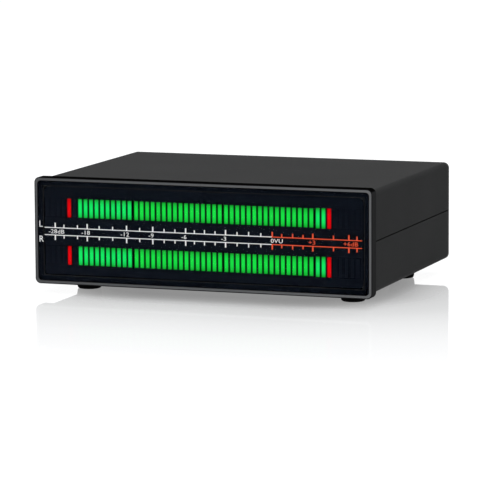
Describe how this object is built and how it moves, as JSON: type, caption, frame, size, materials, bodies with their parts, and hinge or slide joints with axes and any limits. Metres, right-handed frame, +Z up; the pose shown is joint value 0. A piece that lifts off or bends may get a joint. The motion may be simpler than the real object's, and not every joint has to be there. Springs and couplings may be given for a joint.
{
  "type": "audio level meter",
  "caption": "Desktop stereo level meter with lit bar-graph rows behind a dark front window, in a black metal case with rear phono jacks, power inlet, switch and level knobs.",
  "frame": {"origin": "on the floor under the middle of the whole object's box", "axes": "+X to the right seen from the front, +Y from the front window to the rear panel, +Z up"},
  "size_m": [0.153, 0.1296, 0.051],
  "materials": {
    "bezel": "black anodised, satin, with a brighter machined front rim",
    "smoked_window": "smoked acrylic, polished",
    "tape": "black foam tape",
    "black_mask": "black polyester film",
    "bare_metal": "bright sheet metal",
    "black_screw": "black oxide steel",
    "zinc_screw": "zinc plated steel",
    "black_anodised": "fine blasted, black anodised",
    "rear_panel_finish": "fine blasted, black anodised",
    "foot_rubber": "black moulded rubber",
    "green_light": "lit green diffused resin",
    "red_light": "lit red diffused resin",
    "unlit_bar": "unlit tinted resin",
    "circuit_board": "green solder mask",
    "chip_body": "moulded epoxy with tinned leads",
    "brass_metal": "plain turned brass",
    "black_plastic": "moulded black plastic",
    "gold_contact": "gold flashed contact",
    "capacitor_sleeve": "shrink sleeve, aluminium can top",
    "nickel": "nickel plated",
    "white_plastic": "moulded white plastic",
    "red_plastic": "moulded red plastic",
    "switch_plastic": "polished black plastic",
    "shaft_metal": "turned aluminium",
    "knob_finish": "black anodised, fluted",
    "module_plastic": "moulded black plastic"
  },
  "bodies": {
    "case": {"front_bezel": "bezel", "front_window": "smoked_window", "window_tape": "tape", "display_mask": "black_mask", "front_plate": "bare_metal", "front_plate_screws": "black_screw", "top_shell": "black_anodised", "bottom_shell": "black_anodised", "rear_panel": "rear_panel_finish", "rear_panel_screws": "black_screw", "foot_front_left": "foot_rubber", "foot_front_right": "foot_rubber", "foot_rear_left": "foot_rubber", "foot_rear_right": "foot_rubber", "foot_screws": "zinc_screw", "green_bars": "green_light", "red_bars": "red_light", "dark_bars": "unlit_bar", "display_board": "circuit_board", "driver_chips": "chip_body", "display_standoffs": "brass_metal", "display_screws": "zinc_screw", "display_socket": "black_plastic", "board_header": "black_plastic", "header_pins": "gold_contact", "main_board": "circuit_board", "microcontroller": "chip_body", "audio_chips": "chip_body", "crystal": "bare_metal", "filter_capacitors": "capacitor_sleeve", "voltage_regulator": "chip_body", "input_jack_block": "black_plastic", "output_jack_block": "black_plastic", "jack_shells": "nickel", "left_jack_inserts": "white_plastic", "right_jack_inserts": "red_plastic", "jack_contacts": "gold_contact", "power_jack": "black_plastic", "power_jack_pin": "nickel", "power_switch_body": "switch_plastic", "switch_terminals": "nickel", "mode_switch": "black_plastic", "left_level_pot": "bare_metal", "right_level_pot": "bare_metal", "level_nuts": "nickel", "level_washers": "nickel", "upper_led_module_1": "module_plastic", "upper_led_module_2": "module_plastic", "upper_led_module_3": "module_plastic", "upper_led_module_4": "module_plastic", "lower_led_module_1": "module_plastic", "lower_led_module_2": "module_plastic", "lower_led_module_3": "module_plastic", "lower_led_module_4": "module_plastic"},
    "left_level": {"left_level_knob": "knob_finish", "left_level_shaft": "shaft_metal"},
    "right_level": {"right_level_knob": "knob_finish", "right_level_shaft": "shaft_metal"},
    "rocker": {"power_rocker": "switch_plastic"},
    "button": {"mode_button": "switch_plastic"}
  },
  "joints": [
    {"name": "left_level_turn", "type": "hinge", "parent": "case", "child": "left_level", "pos_m": [0.01434, 0.05055, 0.0243], "axis": [0, 1, 0], "range_deg": [-150, 150]},
    {"name": "right_level_turn", "type": "hinge", "parent": "case", "child": "right_level", "pos_m": [-0.00199, 0.05055, 0.0243], "axis": [0, 1, 0], "range_deg": [-150, 150]},
    {"name": "power_rocker_tilt", "type": "hinge", "parent": "case", "child": "rocker", "pos_m": [0.04614, 0.04995, 0.0243], "axis": [1, 0, 0], "range_deg": [-20, 0]},
    {"name": "mode_button_press", "type": "slide", "parent": "case", "child": "button", "axis": [0, -1, 0], "range_m": [0, 0.0015], "stiffness_N_per_m": 400, "springref_m": -0.001}
  ]
}
